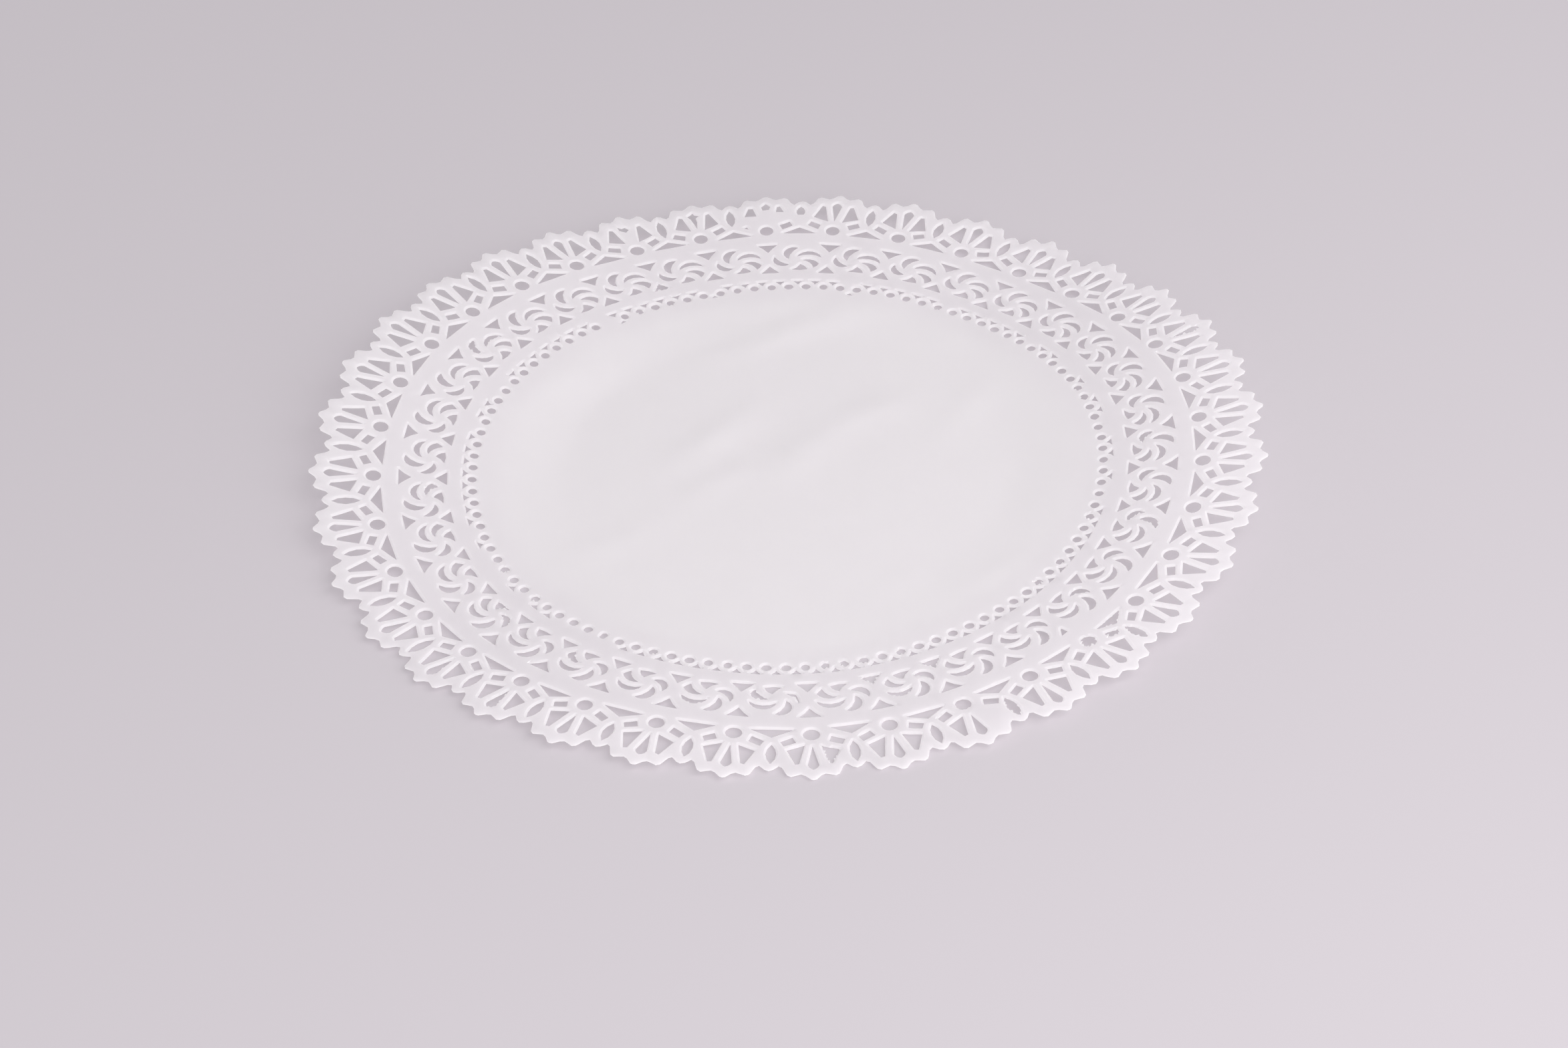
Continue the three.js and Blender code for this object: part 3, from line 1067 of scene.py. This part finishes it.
def paper_shader(nodes):
    """White embossed paper, which scatters some light and lets the rest through."""
    place = nodes.add("ShaderNodeTexCoord", output="Object")
    cloud = noise(nodes, place, scale=90.0, detail=4.0, roughness=0.6)
    stretch = nodes.add("ShaderNodeMapping", (), {
        "Vector": place, "Rotation": (0, 0, math.radians(35)), "Scale": (1, 3.5, 1),
    })
    fibre = noise(nodes, stretch, scale=900.0, detail=3.0, roughness=0.65)
    pressed = nodes.add("ShaderNodeAttribute", {"attribute_name": "pressed"}, output="Fac")
    smooth = nodes.add("ShaderNodeAttribute", {"attribute_name": "smooth"}, output="Fac")

    grain = (cloud - 0.5) * CLOUDS + (fibre - 0.5) * FIBRES
    # The pressed bevels get a painted highlight and the middle gets painted light, both as extra
    # whiteness.
    white = (grain + pressed * BEVEL_PAINTED_HIGHLIGHT + smooth * MIDDLE_PAINTED_LIGHT + PLAIN_WHITENESS).between(0, 1)
    colour = mixed(nodes, "MIX", white, DULL_WHITE, BRIGHT_WHITE)
    colour = mixed(nodes, "MULTIPLY", smooth, colour, MIDDLE_TINT)
    roughness = (ROUGHNESS - pressed * PRESSED_SMOOTHER + (fibre - 0.5) * FIBRES_ROUGHER).between(0.5, 1)
    bump = nodes.add("ShaderNodeBump", (), {
        "Strength": 0.25, "Distance": 0.05 * MM, "Height": fibre + cloud * 0.6,
    })
    surface = nodes.add("ShaderNodeBsdfPrincipled", (), {
        "Base Color": colour, "Roughness": roughness, "Normal": bump, "Specular IOR Level": 0.35,
    })
    through = nodes.add("ShaderNodeBsdfTranslucent", (), {"Color": THROUGH_WHITE})
    # The middle lets less light through, so it looks brighter: painted light, like its extra whiteness.
    share = SHARE_THROUGH - white * WHITE_STOPS - smooth * MIDDLE_PAINTED_LIGHT_STOPS
    return nodes.add("ShaderNodeMixShader", (), [share, surface, through])


paper = material_of("white embossed paper", paper_shader)
print("the paper has", len(paper.node_tree.nodes), "nodes")

# %% [markdown]
# ## From the tree to a plain mesh
# The points that carry the repeats know their bearing and the number of the repeat that stands there.
# The modifier's sizes are set, the tree runs once, and its result is kept as a plain mesh, which is all
# that the finished piece needs.

# %% From the tree to a plain mesh
SHARP_EDGE = math.radians(30)  # past which two faces don't shade as one


def make_sheet():
    """The mesh of the whole sheet, made by its tree."""
    points = bpy.data.meshes.new("bearings")
    points.from_pydata([(0, 0, 0)] * REPEATS, [], [])
    give_points(points, "bearing", [number * FULL_TURN / REPEATS for number in range(REPEATS)])
    give_points(points, "number", list(range(REPEATS)), "INT")
    maker = add_object("doily maker", points)
    tree, keys = sheet_tree(paper)
    modifier = maker.modifiers.new("whole sheet", "NODES")
    modifier.node_group = tree
    for name, value in SIZES.items():
        modifier[keys[name]] = value
    evaluated = maker.evaluated_get(bpy.context.evaluated_depsgraph_get())
    mesh = bpy.data.meshes.new_from_object(evaluated)
    bpy.data.objects.remove(maker)
    return mesh


sheet_mesh = make_sheet()
sheet_mesh.shade_smooth()
sheet_mesh.set_sharp_from_angle(angle=SHARP_EDGE)
doily = add_object("paper_doily", sheet_mesh)
for thing in [*repeats.objects, middle]:
    bpy.data.objects.remove(thing)
bpy.data.collections.remove(repeats)
sheet_triangles = sum(len(face.vertices) - 2 for face in sheet_mesh.polygons)
print(len(sheet_mesh.vertices), "points,", sheet_triangles, "triangles")

# %% [markdown]
# ## The table and the light
# The doily lies on a plain, pale, matt table. One wide soft light stands at the front right, low enough
# to catch the bevels. Most of the light comes from the white room all round, which fills the shadows. A
# picture of a room could light it too, but a plain white one is enough for a thing that mirrors nothing.

# %% The table and the light
TABLE_HALF = 4  # metres, so wide that the camera doesn't see its edges
TABLE_CORNERS = [(-1, -1), (1, -1), (1, 1), (-1, 1)]
TABLE_COLOUR = (0.456, 0.423, 0.452, 1)
LIGHT_PLACE = Vector((0.6, -0.82, 0.64))  # metres
LIGHT_SIZE = 1.8  # metres
LIGHT_WATTS = 17.7
ROOM_COLOUR = (1, 1, 1, 1)
ROOM_STRENGTH = 0.975


def table_shader(nodes):
    """A plain, pale, matt finish."""
    return nodes.add("ShaderNodeBsdfPrincipled", (), {
        "Base Color": TABLE_COLOUR, "Roughness": 0.7, "Specular IOR Level": 0.05,
    })


def add_table():
    """Adds the table, a plain square at height 0."""
    mesh = bpy.data.meshes.new("table")
    mesh.from_pydata([(x * TABLE_HALF, y * TABLE_HALF, 0) for x, y in TABLE_CORNERS], [], [(0, 1, 2, 3)])
    mesh.materials.append(material_of("pale table", table_shader))
    table = add_object("table", mesh)


def add_light():
    """Adds the wide soft light, aimed at the middle of the doily."""
    data = bpy.data.lights.new("wide soft light", "AREA")
    data.shape, data.size, data.energy = "DISK", LIGHT_SIZE, LIGHT_WATTS
    light = add_object("wide soft light", data)
    light.location = LIGHT_PLACE
    light.rotation_mode = "QUATERNION"
    light.rotation_quaternion = (-LIGHT_PLACE).to_track_quat("-Z", "Y")


def add_room():
    """Gives the scene a white room, which lights it from all round."""
    world = bpy.data.worlds.new("white room")
    world.use_nodes = True
    background = world.node_tree.nodes["Background"]
    background.inputs["Color"].default_value = ROOM_COLOUR
    background.inputs["Strength"].default_value = ROOM_STRENGTH
    bpy.context.scene.world = world
    bpy.context.scene.view_settings.view_transform = "Standard"


add_table()
add_light()
add_room()
print("one light and the room")

# %% [markdown]
# ## What the doily is to the part
# The paper stands for the part's one solid. It rides on the part's one body. It is a sheet that was cut
# round, and its flat area is the paper that is left between the openings. That area could be worked out
# from the outlines, but the mesh has it already.

# %% What the doily is to the part
UPWARDS = 0.5  # a face whose normal rises by more is on the upper side


def top_area(mesh):
    """The area of the upper side, in square metres."""
    return sum(face.area for face in mesh.polygons if face.normal.z > UPWARDS)


FLAT_AREA = top_area(sheet_mesh)
print("flat area", round(FLAT_AREA, 5), "square metres")
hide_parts("doily")
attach(doily, "root")
